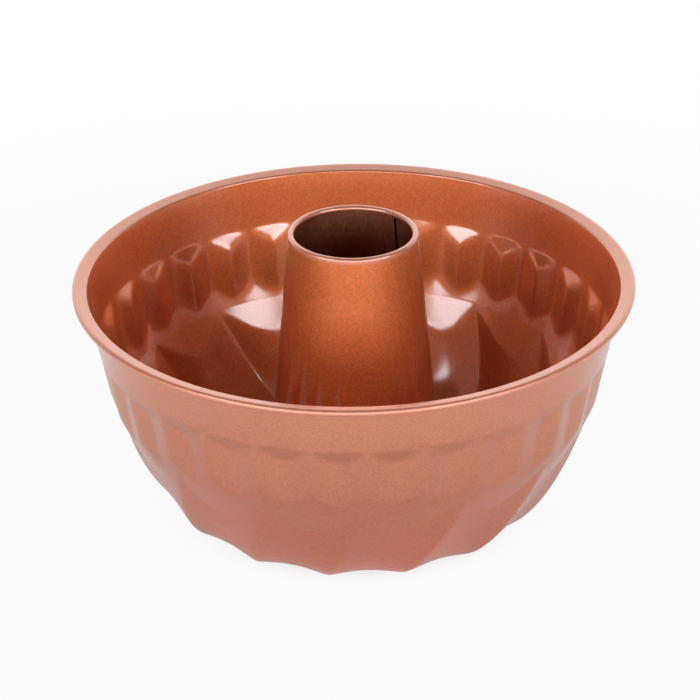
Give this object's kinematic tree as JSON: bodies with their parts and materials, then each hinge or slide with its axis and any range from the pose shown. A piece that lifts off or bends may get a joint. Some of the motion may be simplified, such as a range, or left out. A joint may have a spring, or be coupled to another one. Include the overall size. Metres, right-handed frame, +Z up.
{
  "type": "fluted ring cake mould",
  "caption": "Tall round ring-cake mould of coated sheet steel with a rolled rim, a fluted wall with swirling lobes, and a conical open centre tube seamed into its floor.",
  "frame": {"origin": "on the mould's axis, in the plane that its feet stand on", "axes": "+Z up along the axis towards the open rim; +X through the top of one of the lobes' crests"},
  "size_m": [0.23, 0.23, 0.121],
  "materials": {
    "shell_coating": "copper-coloured metallic non-stick coating on sheet steel, satin outside and glossy inside",
    "tube_coating": "copper-coloured metallic non-stick coating on sheet steel, satin"
  },
  "bodies": {
    "root": {"fluted_shell": "shell_coating", "centre_tube": "tube_coating"}
  },
  "joints": []
}
